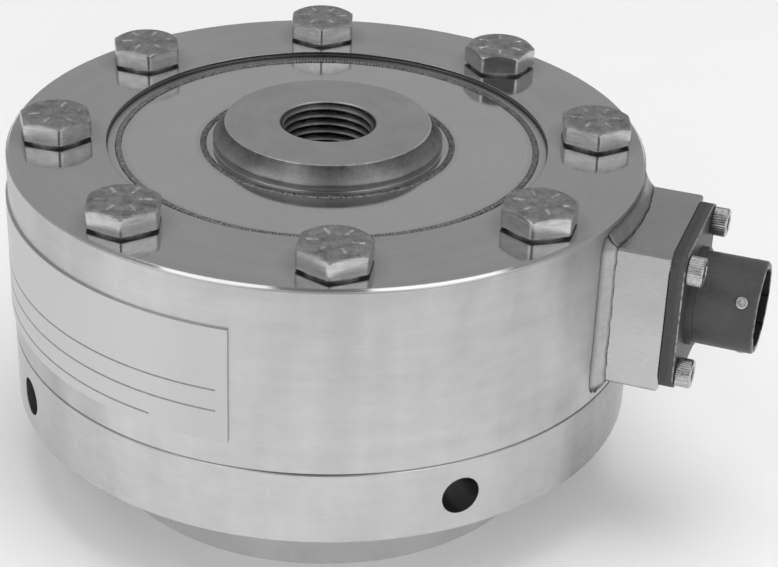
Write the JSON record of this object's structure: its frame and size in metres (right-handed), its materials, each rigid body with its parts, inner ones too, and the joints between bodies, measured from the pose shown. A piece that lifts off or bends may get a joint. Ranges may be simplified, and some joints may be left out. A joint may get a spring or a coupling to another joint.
{
  "type": "universal load cell",
  "caption": "Low round tension and compression load cell: threaded hub inside a bolted rim, on a stepped base with side spanner holes, with a square side housing for a bayonet connector.",
  "frame": {"origin": "centre of the base's flat underside, on the load axis", "axes": "+Z along the load axis, up through the hub; +X towards the electrical connector"},
  "size_m": [0.1266, 0.1052, 0.0627],
  "materials": {
    "body_steel": "satin, finely turned",
    "base_steel": "satin, finely turned",
    "diaphragm_steel": "smooth, half bright",
    "weld_steel": "rippled, as welded",
    "bolt_steel": "plated, forged heads",
    "plate_metal": "matt foil",
    "housing_steel": "milled, satin",
    "gasket_rubber": "matt",
    "shell_metal": "dark conversion coat",
    "insert_plastic": "moulded",
    "contact_gold": "gold plated",
    "stud_steel": "bright",
    "screw_steel": "knurled, bright",
    "gauge_foil": "polyimide backing",
    "board_laminate": "solder mask",
    "resistor_ceramic": "glazed",
    "wire_cover": "smooth insulation"
  },
  "bodies": {
    "root": {"flexure_body": "body_steel", "mounting_base": "base_steel", "upper_diaphragm": "diaphragm_steel", "lower_diaphragm": "diaphragm_steel", "upper_outer_weld": "weld_steel", "upper_hub_weld": "weld_steel", "lower_outer_weld": "weld_steel", "lower_hub_weld": "weld_steel", "housing_weld": "weld_steel", "base_bolts": "bolt_steel", "nameplate": "plate_metal", "connector_housing": "housing_steel", "connector_gasket": "gasket_rubber", "connector_shell": "shell_metal", "connector_insert": "insert_plastic", "contact_pins": "contact_gold", "bayonet_pins": "stud_steel", "connector_screws": "screw_steel", "compensation_board": "board_laminate", "trim_resistors": "resistor_ceramic", "lead_wires": "wire_cover", "strain_gauge_1": "gauge_foil", "strain_gauge_2": "gauge_foil", "strain_gauge_3": "gauge_foil", "strain_gauge_4": "gauge_foil", "strain_gauge_5": "gauge_foil", "strain_gauge_6": "gauge_foil", "strain_gauge_7": "gauge_foil", "strain_gauge_8": "gauge_foil"}
  },
  "joints": []
}
